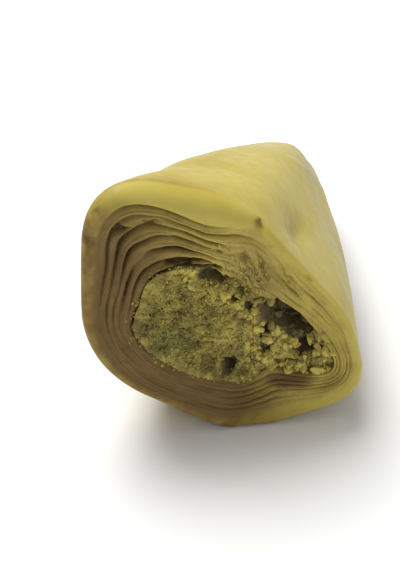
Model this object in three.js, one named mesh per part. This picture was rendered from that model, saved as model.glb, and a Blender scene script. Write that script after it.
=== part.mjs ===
// Half of a folded triangular pastry with a ground pistachio filling, cut straight through its middle.
// Millimetres, +Z up. The cut face looks along -Y and the far corner points along +Y.
// The half leans over to its right and rests on its flattened underside.
// The origin is under the middle of the half, on the surface it rests on.
import * as THREE from 'three';

const { clamp, degToRad, lerp, smoothstep } = THREE.MathUtils;

// Size and lean of the half.
const DEPTH = 48;
const LEAN = degToRad(44);
const CUT_CENTRE = new THREE.Vector2(2.8, 18);
const FAR_CORNER = new THREE.Vector2(18.2, 8.4);

// Corners of the slice seen on the cut, each with the length over which it is rounded off.
const CUT_CORNERS = [
  { x: -19.7, z: 47.4, round: 13.1 },
  { x: 3.2, z: 38.8, round: 6.9 },
  { x: 18, z: 17.8, round: 4.5 },
  { x: 21.2, z: 3.4, round: 7.1 },
  { x: 2.5, z: -1.2, round: 5.1 },
  { x: -19, z: 13.2, round: 10.8 },
];

// How the slice shrinks from the cut to the far corner, along and across its lean.
const NARROWING = { linear: 0.69, curved: 0.17, power: 2 };
const THINNING = { linear: 0.09, curved: 0.69, power: 1.78 };
const UPPER_EDGE_BOW = 0.2;
const UPPER_EDGE_REACH = 25;
const CORNER_ROUNDING = { start: 0.86, squareness: 3.2 };

// The underside sags a little, bulges towards the lower left and is pressed flat by the table.
const SAG = { depth: 0.9, over: 0.35 };
const HEEL = { angle: degToRad(-129), spread: 0.55, drop: 2.6, out: 1 };
const HEEL_RANGE = { from: 0, full: 0.16, fade: 0.5, to: 0.95 };

// Unevenness of the skin: soft waves, one dimple, a small step in the upper edge and pinched creases
// near the far corner.
const SKIN_WAVE = 0.22;
const DIMPLE = { angle: degToRad(60), t: 0.2, spreadAngle: 0.2, spreadT: 0.09, deep: 1.2 };
const RIDGE_STEP = { angle: degToRad(122), t: 0.3, spreadAngle: 0.3, spreadT: 0.07, deep: 0.6 };
const CREASES = { count: 7, deep: 0.45, from: 0.55, full: 0.85 };

// The cut face: a smooth rim, then thin dough layers with grooves between them. The outer sheet rolls
// over the edge at the top left, and the layers gape there most.
const RIM = { width: 1.1, rounding: 0.8, mostOfBand: 0.45 };
const THICK_RIMS = [
  { angle: degToRad(107), spread: 0.29, extra: 3.9 },
  { angle: degToRad(180), spread: 0.6, extra: 0.3 },
  { angle: degToRad(-70), spread: 0.5, extra: 1.8 },
];
const ROLLED_EDGES = [
  { angle: degToRad(112), spread: 0.48, extra: 2.4 },
  { angle: degToRad(30), spread: 0.6, extra: -0.45 },
];
const LAYERS = 6;
const GROOVE = { pressed: 0.14, gaping: 1.15 };
const GAPING_SIDES = [
  { angle: degToRad(126), spread: 0.62, extra: 1 },
  { angle: degToRad(25), spread: 0.7, extra: 0.22 },
  { angle: degToRad(-68), spread: 0.55, extra: 0.35 },
];
const OUTERMOST_GROOVE = [
  { angle: degToRad(108), spread: 0.6, extra: 1 },
  { angle: degToRad(30), spread: 0.6, extra: 0.8 },
];
const LAYER_UNEVEN = 0.12;
const LAYER_RECESS = 0.1;

// The ground pistachio core: an egg shape, blunt at the left and slim at the lower right, with dents
// above, below and at the upper left.
const CORE = { x: 2, z: 16.7, long: 16.7, wide: 8.5, taper: 0.27, squareness: 1.78 };
const CORE_LEAN = degToRad(32.5);
const CORE_DENTS = [
  { angle: degToRad(68), spread: 0.5, extra: 3.6 },
  { angle: degToRad(-60), spread: 0.3, extra: 3.1 },
  { angle: degToRad(158), spread: 0.24, extra: 1.9 },
];

// How far back the core reaches, how far its front stands behind the cut, and the room round it and
// beyond its far end.
const CORE_REACH = 0.68;
const CORE_FRONT = 0.35;
const CORE_GAP = 0.42;
const CAVITY_EXTRA = 0.012;

// Crumbs and hollows on the front of the core.
const FINE_CRUMB = { size: 2.1, high: 0.75 };
const COARSE_CRUMB = { size: 2.8, high: 1.6 };
const LOOSE_SIDE = { from: 2, to: 8, recess: 0.3 };
const HOLLOWS = [
  { x: -0.6, z: 26.8, long: 2.7, wide: 1.2, turn: degToRad(-6), deep: 3.4 },
  { x: 9.6, z: 17.7, long: 4.8, wide: 2, turn: degToRad(-42), deep: 4.4 },
  { x: 12.9, z: 12.4, long: 1.7, wide: 1.1, turn: degToRad(-60), deep: 3 },
  { x: 6.4, z: 14.8, long: 1.9, wide: 1, turn: degToRad(72), deep: 2.4 },
  { x: 1.6, z: 11.3, long: 1.7, wide: 1.1, turn: degToRad(70), deep: 2.8 },
  { x: 5.2, z: 11.2, long: 1.2, wide: 0.7, turn: degToRad(30), deep: 1.8 },
  { x: 12.7, z: 8.9, long: 0.9, wide: 0.8, turn: 0, deep: 1.6 },
  { x: 3.7, z: 20.4, long: 1, wide: 0.7, turn: degToRad(-25), deep: 1.5 },
  { x: 1.6, z: 22.3, long: 0.9, wide: 0.6, turn: degToRad(-20), deep: 1.4 },
  { x: 5, z: 21.5, long: 0.9, wide: 0.7, turn: degToRad(70), deep: 1.4 },
  { x: 2.6, z: 23.8, long: 0.8, wide: 0.6, turn: degToRad(-20), deep: 1.2 },
];

// Fineness of the surfaces.
const AROUND = 90;
const SKIN_ROWS = 14;
const CORNER_ROWS = 7;
const CAVITY_ROWS = 6;
const CORE_RINGS = 17;
const CORE_ROWS = 6;

const DOUGH_COLOUR = 0xc6b465;
const FILLING_COLOUR = 0x7a7036;

const ALONG = new THREE.Vector2(Math.cos(LEAN), -Math.sin(LEAN));
const ACROSS = new THREE.Vector2(Math.sin(LEAN), Math.cos(LEAN));
const ANGLES = Array.from({ length: AROUND }, (_, i) => (i / AROUND) * 2 * Math.PI - Math.PI);

const bell = (value, spread) => Math.exp(-((value / spread) ** 2));
const angleBetween = (a, b) => Math.atan2(Math.sin(a - b), Math.cos(a - b));

// Points on an outline with straight sides and softly rounded corners.
function cutOutline() {
  const path = new THREE.Path();
  const corners = CUT_CORNERS.map(({ x, z }) => new THREE.Vector2(x, z));
  corners.forEach((corner, i) => {
    const before = corners.at(i - 1);
    const after = corners[(i + 1) % corners.length];
    const { round } = CUT_CORNERS[i];
    const enter = before.clone().sub(corner).setLength(round).add(corner);
    const leave = after.clone().sub(corner).setLength(round).add(corner);
    if (i === 0) path.moveTo(enter.x, enter.y);
    else path.lineTo(enter.x, enter.y);
    path.quadraticCurveTo(corner.x, corner.y, leave.x, leave.y);
  });
  path.closePath();
  return path.getPoints(16);
}

// Points on the outline of the core.
function coreOutline() {
  const count = 160;
  const power = 2 / CORE.squareness;
  return Array.from({ length: count }, (_, i) => {
    const turn = (i / count) * 2 * Math.PI;
    const along = Math.sign(Math.cos(turn)) * Math.abs(Math.cos(turn)) ** power;
    const across = Math.sign(Math.sin(turn)) * Math.abs(Math.sin(turn)) ** power;
    const u = CORE.long * along;
    const w = CORE.wide * across * (1 - CORE.taper * along);
    const x = CORE.x + u * Math.cos(CORE_LEAN) + w * Math.sin(CORE_LEAN);
    const z = CORE.z - u * Math.sin(CORE_LEAN) + w * Math.cos(CORE_LEAN);
    return new THREE.Vector2(x, z);
  });
}

// Distance from the centre of the cut to an outline, in one direction.
function reach(outline, angle) {
  const direction = new THREE.Vector2(Math.cos(angle), Math.sin(angle));
  let best = 0;
  outline.forEach((point, i) => {
    const a = point.clone().sub(CUT_CENTRE);
    const side = outline[(i + 1) % outline.length].clone().sub(point);
    const spread = direction.cross(side);
    if (Math.abs(spread) < 1e-9) return;
    const distance = a.cross(side) / spread;
    const share = a.cross(direction) / spread;
    if (share >= 0 && share <= 1) best = Math.max(best, distance);
  });
  return best;
}

// Sum of what a list of features adds in one direction from the centre of the cut.
function added(features, angle) {
  const add = (sum, { angle: at, spread, extra }) => sum + extra * bell(angleBetween(angle, at), spread);
  return features.reduce(add, 0);
}

const CUT_RADII = ANGLES.map((angle) => reach(cutOutline(), angle));
const CORE_RADII = ANGLES.map((angle) => reach(coreOutline(), angle) - added(CORE_DENTS, angle));

// Rounds the far corner off: 1 along most of the length, 0 at the corner itself.
function cornerCap(t) {
  const { start, squareness } = CORNER_ROUNDING;
  const over = clamp((t - start) / (1 - start), 0, 1);
  return (1 - over ** squareness) ** (1 / squareness);
}

// Share of the width or thickness that is left at the share t of the depth.
function remaining(t, { linear, curved, power }) {
  return (1 - linear * t - curved * t ** power) * cornerCap(t);
}

// A point at a given distance and direction from the centre line, at the share t of the depth.
function bodyPoint(radius, angle, t) {
  const offset = new THREE.Vector2(radius * Math.cos(angle), radius * Math.sin(angle));
  const along = offset.dot(ALONG);
  const across = offset.dot(ACROSS);
  const bow = UPPER_EDGE_BOW * Math.sin(Math.PI * t) * clamp(-along / UPPER_EDGE_REACH, 0, 1);
  const place = CUT_CENTRE.clone().lerp(FAR_CORNER, t);
  place.addScaledVector(ALONG, along * remaining(t, NARROWING) - bow);
  place.addScaledVector(ACROSS, across * remaining(t, THINNING));
  const sag = SAG.depth * smoothstep(t, 0, SAG.over);
  return new THREE.Vector3(place.x, DEPTH * t, place.y - sag);
}

// How far the skin stands in or out of its plain shape.
function skinRelief(angle, t) {
  const fade = smoothstep(t, 0, 0.12) * (1 - smoothstep(t, 0.9, 1));
  const waves = Math.sin(3 * angle + 5 * t + 0.6) + 0.7 * Math.sin(5 * angle - 9 * t + 2.1);
  const nearDimple = bell(angleBetween(angle, DIMPLE.angle), DIMPLE.spreadAngle)
    * bell(t - DIMPLE.t, DIMPLE.spreadT);
  const nearStep = bell(angleBetween(angle, RIDGE_STEP.angle), RIDGE_STEP.spreadAngle)
    * bell(t - RIDGE_STEP.t, RIDGE_STEP.spreadT);
  const pinch = smoothstep(t, CREASES.from, CREASES.full);
  const creases = Math.abs(Math.sin((CREASES.count * angle) / 2 + 1.2 * t)) - 0.6;
  return fade * (SKIN_WAVE * waves - DIMPLE.deep * nearDimple - RIDGE_STEP.deep * nearStep
    + CREASES.deep * pinch * creases);
}

// A point on the outer skin.
function skinPoint(index, t) {
  const angle = ANGLES[index];
  const point = bodyPoint(CUT_RADII[index] + skinRelief(angle, t), angle, t);
  const heelHere = smoothstep(t, HEEL_RANGE.from, HEEL_RANGE.full)
    * (1 - smoothstep(t, HEEL_RANGE.fade, HEEL_RANGE.to))
    * bell(angleBetween(angle, HEEL.angle), HEEL.spread);
  point.x -= HEEL.out * heelHere;
  point.z = Math.max(0, point.z - HEEL.drop * heelHere);
  return point;
}

// A ring on the wall of the cavity or, with no gap, on the side of the core.
function coreRing(t, gap) {
  const centre = bodyPoint(0, 0, t);
  return ANGLES.map((angle, index) => {
    const point = bodyPoint(CORE_RADII[index], angle, t);
    const outward = point.clone().sub(centre).setLength(gap);
    return point.add(outward);
  });
}

// How far the skin rolls back from the cut.
const edgeRounding = (angle) => RIM.rounding + added(ROLLED_EDGES, angle);

// Width of the smooth rim round the cut, where the dough is as thick as the given band.
const rimWidth = (angle, band) => Math.min(RIM.width + added(THICK_RIMS, angle), RIM.mostOfBand * band);

// Depth of the groove on the outer side of a layer.
function grooveDepth(angle, layer) {
  const gaping = clamp(added(GAPING_SIDES, angle), 0, 1);
  const depth = lerp(GROOVE.pressed, GROOVE.gaping, gaping);
  return layer === 0 ? depth * Math.min(1, added(OUTERMOST_GROOVE, angle)) : depth;
}

// Rings of the cut face, from the rim inwards.
function cutFaceRings() {
  const outer = ANGLES.map((angle, index) => skinPoint(index, edgeRounding(angle) / DEPTH));
  const inner = coreRing(0, CORE_GAP);
  const faceRing = (rimShare, layerShare, depthAt) => ANGLES.map((angle, index) => {
    const point = outer[index].clone().setY(0);
    const band = point.distanceTo(inner[index]);
    const inset = rimWidth(angle, band) * rimShare;
    return point.lerp(inner[index], lerp(inset / band, 1, layerShare)).setY(depthAt(angle, inset));
  });
  const rolled = (angle, inset) => {
    const rounding = edgeRounding(angle);
    const inside = 1 - Math.min(1, inset / rounding);
    return rounding * (1 - Math.sqrt(1 - inside * inside));
  };
  const rings = [0.07, 0.25, 0.6, 0.92].map((rimShare) => faceRing(rimShare, 0, rolled));
  for (let layer = 0; layer < LAYERS; layer += 1) {
    const crest = (angle) => LAYER_RECESS + LAYER_UNEVEN * (1 + Math.sin(4 * angle + 2.3 * layer));
    rings.push(faceRing(1, layer / LAYERS, (angle) => LAYER_RECESS + grooveDepth(angle, layer)));
    rings.push(faceRing(1, (layer + 0.32) / LAYERS, crest));
    rings.push(faceRing(1, (layer + 0.7) / LAYERS, crest));
  }
  rings.push(inner.map((point, index) => {
    return point.clone().setY(CORE_FRONT + 0.5 * grooveDepth(ANGLES[index], LAYERS));
  }));
  return rings;
}

// Joins rings of points, and a single point at either end, into one closed surface.
function closedSurface(firstPole, rings, lastPole) {
  const points = [firstPole, ...rings.flat(), lastPole];
  const faces = [];
  const at = (ring, index) => 1 + ring * AROUND + (index % AROUND);
  for (let index = 0; index < AROUND; index += 1) {
    faces.push(0, at(0, index), at(0, index + 1));
    for (let ring = 0; ring + 1 < rings.length; ring += 1) {
      faces.push(at(ring, index), at(ring + 1, index), at(ring, index + 1));
      faces.push(at(ring, index + 1), at(ring + 1, index), at(ring + 1, index + 1));
    }
    faces.push(points.length - 1, at(rings.length - 1, index + 1), at(rings.length - 1, index));
  }
  const geometry = new THREE.BufferGeometry().setFromPoints(points);
  geometry.setIndex(faces);
  geometry.computeVertexNormals();
  return geometry;
}

// The dough: skin, layered cut face and the cavity that holds the core.
function doughGeometry() {
  const cavityEnd = CORE_REACH + CAVITY_EXTRA;
  const cavity = [];
  for (let row = 0; row < CAVITY_ROWS; row += 1) {
    const share = 1 - row / CAVITY_ROWS;
    cavity.push(coreRing(cavityEnd * share, CORE_GAP));
  }
  const skin = [];
  for (let row = 0; row <= SKIN_ROWS; row += 1) {
    const share = (row / SKIN_ROWS) ** 1.3;
    skin.push(ANGLES.map((angle, index) => {
      return skinPoint(index, lerp(edgeRounding(angle) / DEPTH, CORNER_ROUNDING.start, share));
    }));
  }
  for (let row = 1; row < CORNER_ROWS; row += 1) {
    const turn = (row / CORNER_ROWS) * (Math.PI / 2);
    const t = lerp(CORNER_ROUNDING.start, 1, Math.sin(turn));
    skin.push(ANGLES.map((_, index) => skinPoint(index, t)));
  }
  const rings = [...cavity, ...cutFaceRings().reverse(), ...skin];
  return closedSurface(bodyPoint(0, 0, cavityEnd), rings, bodyPoint(0, 0, 1));
}

// A repeatable scatter value between 0 and 1 for a cell of the crumb pattern.
function scatter(column, row, salt) {
  const value = Math.sin(column * 127.1 + row * 311.7 + salt * 74.7) * 43758.5453;
  return value - Math.floor(value);
}

// Height of rounded crumbs that lie close together, at a place on the cut.
function crumbHeight(x, z, { size, high }) {
  const column = Math.floor(x / size);
  const row = Math.floor(z / size);
  let best = 0;
  for (let i = column - 1; i <= column + 1; i += 1) {
    for (let j = row - 1; j <= row + 1; j += 1) {
      const dx = (i + scatter(i, j, 1)) * size - x;
      const dz = (j + scatter(i, j, 2)) * size - z;
      const lift = 0.6 + 0.4 * scatter(i, j, 3);
      const round = 1 - (dx * dx + dz * dz) / (0.6 * size * size);
      best = Math.max(best, lift * round);
    }
  }
  return high * best;
}

// Depth of the hollows where the filling has come away.
function hollowDepth(x, z) {
  return HOLLOWS.reduce((depth, hollow) => {
    const dx = x - hollow.x;
    const dz = z - hollow.z;
    const u = (dx * Math.cos(hollow.turn) + dz * Math.sin(hollow.turn)) / hollow.long;
    const w = (dz * Math.cos(hollow.turn) - dx * Math.sin(hollow.turn)) / hollow.wide;
    return Math.max(depth, hollow.deep * Math.exp(-((u * u + w * w) ** 2)));
  }, 0);
}

// The front of the core, behind the cut plane: fine crumb at the left, loose crumb at the right.
function coreFront(x, z) {
  const loose = smoothstep(x, LOOSE_SIDE.from, LOOSE_SIDE.to);
  const fine = FINE_CRUMB.high - crumbHeight(x, z, FINE_CRUMB);
  const coarse = COARSE_CRUMB.high - crumbHeight(x, z, COARSE_CRUMB);
  return CORE_FRONT + lerp(fine, coarse + LOOSE_SIDE.recess, loose) + hollowDepth(x, z);
}

// The core: crumbly front and a tapering body inside the dough.
function fillingGeometry() {
  const frontPoint = (radius, angle) => {
    const onCut = bodyPoint(radius, angle, 0);
    return bodyPoint(radius, angle, coreFront(onCut.x, onCut.z) / DEPTH);
  };
  const rings = [];
  for (let ring = 1; ring <= CORE_RINGS; ring += 1) {
    const share = (ring / CORE_RINGS) ** 0.8;
    rings.push(ANGLES.map((angle, index) => frontPoint(share * CORE_RADII[index], angle)));
  }
  const frontEdge = rings[CORE_RINGS - 1];
  for (let row = 1; row <= CORE_ROWS; row += 1) {
    const share = row / CORE_ROWS;
    rings.push(ANGLES.map((angle, index) => {
      const t = lerp(frontEdge[index].y / DEPTH, CORE_REACH, share);
      return bodyPoint(CORE_RADII[index], angle, t);
    }));
  }
  return closedSurface(frontPoint(0, 0), rings, bodyPoint(0, 0, CORE_REACH));
}

function namedMesh(name, geometry, color, roughness) {
  const material = new THREE.MeshStandardMaterial({ color, roughness, metalness: 0 });
  const mesh = new THREE.Mesh(geometry, material);
  mesh.name = name;
  return mesh;
}

const pastry = new THREE.Group();
pastry.name = 'pastry_half';
pastry.add(namedMesh('dough', doughGeometry(), DOUGH_COLOUR, 0.55));
pastry.add(namedMesh('filling', fillingGeometry(), FILLING_COLOUR, 0.9));

const middle = new THREE.Box3().setFromObject(pastry).getCenter(new THREE.Vector3());
pastry.position.set(-middle.x, -middle.y, 0);

export default pastry;
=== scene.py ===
import bmesh
import bpy
import numpy as np
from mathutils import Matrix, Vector


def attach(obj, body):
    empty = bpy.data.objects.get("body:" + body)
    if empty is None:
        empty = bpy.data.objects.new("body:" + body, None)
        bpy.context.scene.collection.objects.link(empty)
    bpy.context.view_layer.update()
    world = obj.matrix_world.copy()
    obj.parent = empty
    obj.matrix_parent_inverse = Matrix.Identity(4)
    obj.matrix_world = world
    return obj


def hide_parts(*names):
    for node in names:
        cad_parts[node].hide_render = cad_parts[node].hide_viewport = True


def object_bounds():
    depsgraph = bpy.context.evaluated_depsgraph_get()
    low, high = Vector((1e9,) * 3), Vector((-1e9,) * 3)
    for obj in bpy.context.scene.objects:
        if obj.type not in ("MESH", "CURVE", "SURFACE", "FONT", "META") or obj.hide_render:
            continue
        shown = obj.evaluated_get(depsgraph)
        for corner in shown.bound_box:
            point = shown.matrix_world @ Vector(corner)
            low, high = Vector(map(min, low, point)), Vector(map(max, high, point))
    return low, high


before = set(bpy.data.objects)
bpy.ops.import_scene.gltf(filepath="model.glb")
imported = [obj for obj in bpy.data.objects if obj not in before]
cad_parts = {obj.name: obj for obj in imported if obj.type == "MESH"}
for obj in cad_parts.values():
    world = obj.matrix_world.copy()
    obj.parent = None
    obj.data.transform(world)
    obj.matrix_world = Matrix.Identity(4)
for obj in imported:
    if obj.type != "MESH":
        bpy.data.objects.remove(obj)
cad_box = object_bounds()


# The folded dough. Buttered sheets of very thin dough are wound round the filling and folded into a
# triangle, and this one is cut in half. The skin is smooth and waxy with a little flour on it, and the
# cut shows the sheets edge on, with gaps between them. Sizes are millimetres until the mesh is made.
METRES = 0.001
DEPTH = 48.0
LEAN = np.radians(44)
ALONG = np.array([np.cos(LEAN), -np.sin(LEAN)])
ACROSS = np.array([np.sin(LEAN), np.cos(LEAN)])
CUT_CENTRE = np.array([2.8, 18.0])
FAR_CORNER = np.array([18.2, 8.4])
# The cut stands at y = 0 until the mesh is made. The part's origin is under the middle of the piece.
MIDDLE_TO_ORIGIN = np.array([-1.469, -DEPTH / 2, 0.0])

# Corners of the slice as x, z and the length over which each is rounded off.
CUT_CORNERS = np.array([
    (-19.7, 47.4, 13.1),
    (3.2, 38.8, 6.9),
    (18.0, 17.8, 4.5),
    (21.2, 3.4, 7.1),
    (2.5, -1.2, 5.1),
    (-19.0, 13.2, 10.8),
])
CORNER_STEPS = 24

# How the slice narrows and thins towards the far corner, as a linear share, a curved share and its
# power. The corner itself is rounded off, the upper edge bows a little and the underside sags.
NARROWING = (0.69, 0.17, 2)
THINNING = (0.09, 0.69, 1.78)
CORNER_START = 0.86
CORNER_SQUARENESS = 3.2
UPPER_EDGE_BOW = 0.2
UPPER_EDGE_REACH = 25
SAG = 0.9
SAG_END = 0.35
HEEL = (-129, 0.55)
HEEL_DROP = 2.6

# Relief of the skin. A place is a direction in degrees from the centre of the cut with its spread, and
# a share of the depth with its spread.
WAVE_HEIGHT = 0.22
DIMPLE = (60, 0.2, 0.2, 0.09)
DIMPLE_DEPTH = 1.2
RIDGE_STEP = (122, 0.3, 0.3, 0.07)
RIDGE_STEP_DEPTH = 0.6
CREASE_HEIGHT = 0.45
LAST_EDGE = np.radians(168)
LAST_EDGE_RADIUS = 10
LAST_SHEET_HEIGHT = 0.55
WRAP_START = 0.74
WRAP_HEIGHT = 0.3

# What the rim, its rolled edge and the sheets gain or lose round the cut. A feature is a direction in
# degrees from the centre of the cut, its spread and the amount there.
RIM_WIDTH = 1.1
WIDER_RIMS = [(107, 0.29, 3.9), (180, 0.6, 0.3), (142, 0.3, 1.3), (-70, 0.5, 1.8)]
RIM_ROUNDING = 0.8
ROLLED_EDGES = [(112, 0.48, 2.4), (30, 0.6, -0.45)]
GAPING_SIDES = [(126, 0.62, 1.0), (28, 0.55, 0.36), (-72, 0.65, 0.42)]
LAYERS = 6
FEWER_LAYERS = [(18, 0.55, -2.4)]
LEAVES_IN_LAYER = 4
GAP_DEPTH = 1.2
LAYER_RECESS = 0.1
LAYER_UNEVEN = 0.12
LEAF_DEPTH = 0.08
FLAKE_DEPTH = 0.5

# Small dark holes between the sheets as x, z, half length, half width, turn in degrees and depth.
SHEET_HOLES = [
    (-17.6, 34.4, 1.3, 0.55, 84, 0.7),
    (-16.4, 39.4, 0.6, 0.45, 60, 0.5),
    (5.6, 34.3, 1.0, 0.75, -50, 0.8),
    (-1.2, 28.0, 1.8, 0.4, -12, 1.6),
    (-4.6, 29.3, 3.0, 0.6, -4, 1.6),
    (-13.4, 36.2, 1.5, 0.6, 8, 1.0),
    (-9.4, 36.9, 1.3, 0.6, -4, 0.9),
    (12.4, 24.9, 0.7, 0.4, -40, 0.35),
    (6.2, 27.0, 3.2, 0.35, -73, 0.6),
    (9.8, 24.8, 2.0, 0.35, -56, 0.5),
]

# The core is needed here too, because the sheets end at the cavity round it. It is an egg shape, blunt
# at the left and slim at the lower right, with dents above, below and left. It reaches back over a
# share of the depth.
CORE_MIDDLE = (2.0, 16.7)
CORE_LONG = 16.7
CORE_WIDE = 8.5
CORE_TAPER = 0.27
CORE_SQUARENESS = 1.78
CORE_LEAN = np.radians(32.5)
CORE_DENTS = [(68, 0.50, -3.6), (-60, 0.30, -3.1), (158, 0.24, -1.9)]
CORE_REACH = 0.68
CORE_GAP = 0.02
CAVITY_END = CORE_REACH + 0.012

# Fineness of the mesh.
AROUND = 448
SKIN_ROWS = 68
CORNER_ROWS = 16
RIM_RINGS = 22
LAYER_RINGS = 108
CAVITY_RINGS = 8
CORE_OUTLINE_POINTS = 400


def smoothstep(value, low, high):
    share = np.clip((value - low) / (high - low), 0, 1)
    return share * share * (3 - 2 * share)


def bell(value, spread):
    return np.exp(-(value / spread) ** 2)


def turn_between(a, b):
    return np.arctan2(np.sin(a - b), np.cos(a - b))


def near(turns, degrees, spread):
    """1 in one direction from the centre of the cut, and less away from it."""
    return bell(turn_between(turns, np.radians(degrees)), spread)


def near_place(turns, t, place):
    """1 at a place on the skin, and less away from it."""
    degrees, spread, depth, spread_along = place
    return near(turns, degrees, spread) * bell(t - depth, spread_along)


def with_features(value, features, turns):
    """A value round the cut, with what each feature adds to it."""
    for degrees, spread, amount in features:
        value = value + amount * near(turns, degrees, spread)
    return value


def scatter(cells, salt):
    """A repeatable value between 0 and 1 for each cell of a grid."""
    mixed = cells @ np.array([127.1, 311.7, 269.5])[: cells.shape[-1]] + salt * 74.7
    value = np.sin(mixed) * 43758.5453
    return value - np.floor(value)


def soft_noise(points, size, salt):
    """Smooth uneven values between -1 and 1 with lumps of the given size."""
    scaled = points / size
    base = np.floor(scaled)
    share = scaled - base
    share = share * share * (3 - 2 * share)
    total = 0
    for corner in np.ndindex(*(2,) * points.shape[-1]):
        weight = np.prod(np.where(corner, share, 1 - share), axis=-1)
        total = total + weight * scatter(base + corner, salt)
    return 2 * total - 1


def rounded_outline(corners):
    """Points round an outline with straight sides and softly rounded corners."""
    steps = np.linspace(0, 1, CORNER_STEPS, endpoint=False)[:, None]
    points = []
    for before, corner, after in zip(np.roll(corners, 1, 0), corners, np.roll(corners, -1, 0)):
        spot = corner[:2]
        back, ahead = before[:2] - spot, after[:2] - spot
        enter = spot + back / np.linalg.norm(back) * corner[2]
        leave = spot + ahead / np.linalg.norm(ahead) * corner[2]
        next_enter = after[:2] - ahead / np.linalg.norm(ahead) * after[2]
        points.append((1 - steps) ** 2 * enter + 2 * steps * (1 - steps) * spot + steps**2 * leave)
        points.append(leave + (next_enter - leave) * steps)
    return np.concatenate(points)


def core_outline():
    """Points round the egg shape of the core, without its dents."""
    turn = np.linspace(0, 2 * np.pi, CORE_OUTLINE_POINTS, endpoint=False)
    power = 2 / CORE_SQUARENESS
    along = np.sign(np.cos(turn)) * np.abs(np.cos(turn)) ** power
    across = np.sign(np.sin(turn)) * np.abs(np.sin(turn)) ** power
    u = CORE_LONG * along
    w = CORE_WIDE * across * (1 - CORE_TAPER * along)
    x = CORE_MIDDLE[0] + u * np.cos(CORE_LEAN) + w * np.sin(CORE_LEAN)
    z = CORE_MIDDLE[1] - u * np.sin(CORE_LEAN) + w * np.cos(CORE_LEAN)
    return np.stack([x, z], axis=-1)


def from_centre(flat):
    """Distance and direction of places on the cut from its centre."""
    away = flat - CUT_CENTRE
    return np.hypot(away[..., 0], away[..., 1]), np.arctan2(away[..., 1], away[..., 0])


def reach(outline, turns):
    """Distance from the centre of the cut to an outline, in each direction."""
    radius, angle = from_centre(outline)
    order = np.argsort(angle)
    return np.interp(turns, angle[order], radius[order], period=2 * np.pi)


TURNS = np.linspace(-np.pi, np.pi, AROUND, endpoint=False)
CUT_RADII = reach(rounded_outline(CUT_CORNERS), TURNS)
CORE_RADII = with_features(reach(core_outline(), TURNS), CORE_DENTS, TURNS)


def body_points(radius, turns, t):
    """Points at a distance and direction from the centre line, at the share t of the depth."""
    along = radius * (np.cos(turns) * ALONG[0] + np.sin(turns) * ALONG[1])
    across = radius * (np.cos(turns) * ACROSS[0] + np.sin(turns) * ACROSS[1])
    over = np.clip((t - CORNER_START) / (1 - CORNER_START), 0, 1)
    cap = (1 - over**CORNER_SQUARENESS) ** (1 / CORNER_SQUARENESS)
    narrow, thin = [
        (1 - linear * t - curved * t**power) * cap for linear, curved, power in (NARROWING, THINNING)
    ]
    bow = UPPER_EDGE_BOW * np.sin(np.pi * t) * np.clip(-along / UPPER_EDGE_REACH, 0, 1)
    u = along * narrow - bow
    w = across * thin
    x = CUT_CENTRE[0] + (FAR_CORNER[0] - CUT_CENTRE[0]) * t + ALONG[0] * u + ACROSS[0] * w
    z = CUT_CENTRE[1] + (FAR_CORNER[1] - CUT_CENTRE[1]) * t + ALONG[1] * u + ACROSS[1] * w
    return np.stack([x, DEPTH * t + 0 * x, z - SAG * smoothstep(t, 0, SAG_END)], axis=-1)


def centre_point(t):
    """The point on the centre line at the share t of the depth."""
    return body_points(np.zeros(1), np.zeros(1), np.array([t]))[0]


def past_last_edge(turns, t):
    """Angle past the long edge of the last sheet, which wanders along the back."""
    return turn_between(turns, LAST_EDGE + 0.5 * t * t + 0.05 * np.sin(9 * t))


def sheet_edges(turns, t):
    """How many millimetres past the edge of an outer sheet each place lies, and how clearly the edge
    shows. One sheet ends along the back, and one is wrapped round the far corner."""
    back = past_last_edge(turns, t)
    back_shows = bell(back, 0.35) * smoothstep(t, 0.1, 0.25) * (1 - smoothstep(t, 0.85, 0.97))
    wrap = t - WRAP_START - 0.05 * np.sin(2.3 * turns + 0.5) - 0.012 * np.sin(9 * turns + 1)
    wrap_shows = near(turns, 45, 0.95) * bell(wrap, 0.07)
    past_edge = np.where(wrap_shows > back_shows, DEPTH * wrap, -LAST_EDGE_RADIUS * back)
    return past_edge, np.maximum(wrap_shows, back_shows)


def skin_relief(turns, t):
    """How far the skin stands in or out: soft waves, a dimple, a step in the ridge, pinched creases
    towards the far corner and the edges of the outer sheets."""
    fade = smoothstep(t, 0, 0.12) * (1 - smoothstep(t, 0.9, 1))
    waves = np.sin(3 * turns + 5 * t + 0.6) + 0.7 * np.sin(5 * turns - 9 * t + 2.1)
    dimple = near_place(turns, t, DIMPLE)
    step = near_place(turns, t, RIDGE_STEP)
    creases = np.abs(np.sin(3.5 * turns + 1.2 * t)) - 0.6
    pinch = smoothstep(t, 0.55, 0.85)
    past_last = past_last_edge(turns, t)
    last_sheet = smoothstep(past_last, -0.02, 0.025) * (1 - smoothstep(past_last, 0.2, 1.3))
    past_edge, shows = sheet_edges(turns, t)
    wrap = WRAP_HEIGHT * shows * (1 - smoothstep(past_edge, -0.6, 0.6)) * smoothstep(t, 0.5, 0.7)
    relief = WAVE_HEIGHT * waves - DIMPLE_DEPTH * dimple - RIDGE_STEP_DEPTH * step
    relief = relief + CREASE_HEIGHT * pinch * creases + LAST_SHEET_HEIGHT * last_sheet
    return fade * (relief + wrap)


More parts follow.
